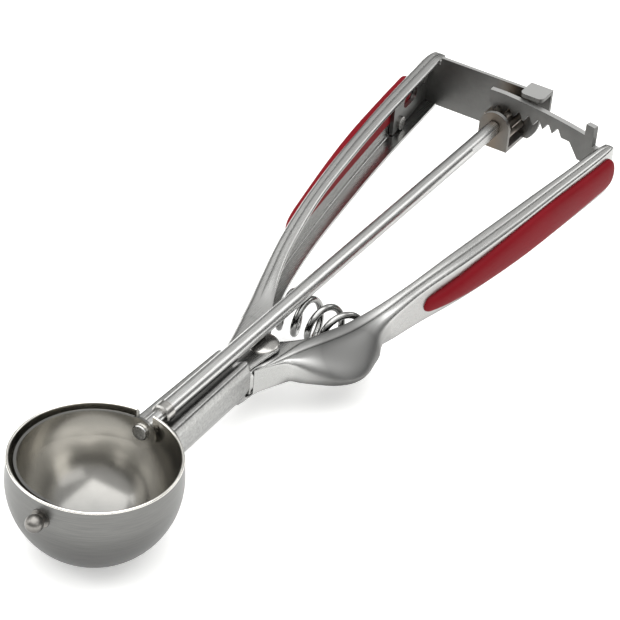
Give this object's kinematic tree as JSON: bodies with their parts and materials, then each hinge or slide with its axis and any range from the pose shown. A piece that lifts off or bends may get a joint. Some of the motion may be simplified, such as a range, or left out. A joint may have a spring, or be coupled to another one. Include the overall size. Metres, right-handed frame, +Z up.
{
  "type": "lever ice cream scoop",
  "caption": "Small squeeze-handle ice cream scoop: round steel bowl with a sweeping scraper, turned by a rack and pinion between two sprung channel handles.",
  "frame": {"origin": "centre of the scraper's turning axis in the middle of the bowl", "axes": "+X along the shaft from the bowl to the handle ends, +Z up out of the bowl's mouth, +Y towards the fixed handle"},
  "size_m": [0.2384, 0.0706, 0.0341],
  "materials": {
    "bowl_steel": "brushed outside, polished inside",
    "handle_steel": "satin pressed sheet",
    "shaft_steel": "polished bar",
    "gear_steel": "dull sintered or milled steel",
    "bracket_steel": "plain stamped sheet",
    "spring_steel": "drawn wire",
    "grip_rubber": "matte dark red"
  },
  "bodies": {
    "frame": {"bowl": "bowl_steel", "fixed_handle": "handle_steel", "fixed_grip": "grip_rubber", "gear_bracket": "bracket_steel", "bracket_rivet_front": "shaft_steel", "bracket_rivet_rear": "shaft_steel", "hinge_rivet": "shaft_steel", "spring": "spring_steel"},
    "lever": {"lever_handle": "handle_steel", "lever_grip": "grip_rubber", "rack": "bracket_steel", "rack_rivet_front": "shaft_steel", "rack_rivet_rear": "shaft_steel"},
    "spindle": {"shaft": "shaft_steel", "shaft_collar": "shaft_steel", "pinion": "gear_steel", "rear_washer": "bracket_steel", "scraper": "bowl_steel", "front_pin": "shaft_steel"}
  },
  "joints": [
    {"name": "lever_hinge", "type": "hinge", "parent": "frame", "child": "lever", "pos_m": [0.0705, -0.001, -0.0088], "axis": [0, 0, 1], "range_deg": [0, 6.75], "stiffness_Nm_per_rad": 0.6, "springref_deg": -2.86, "deforming": ["spring"]},
    {"name": "spindle_spin", "type": "hinge", "parent": "frame", "child": "spindle", "pos_m": [0, 0, 0], "axis": [-1, 0, 0], "range_deg": [0, 208.2]}
  ],
  "couplings": [
    {"joint": "spindle_spin", "follows": "lever_hinge", "ratio": 30.833}
  ]
}
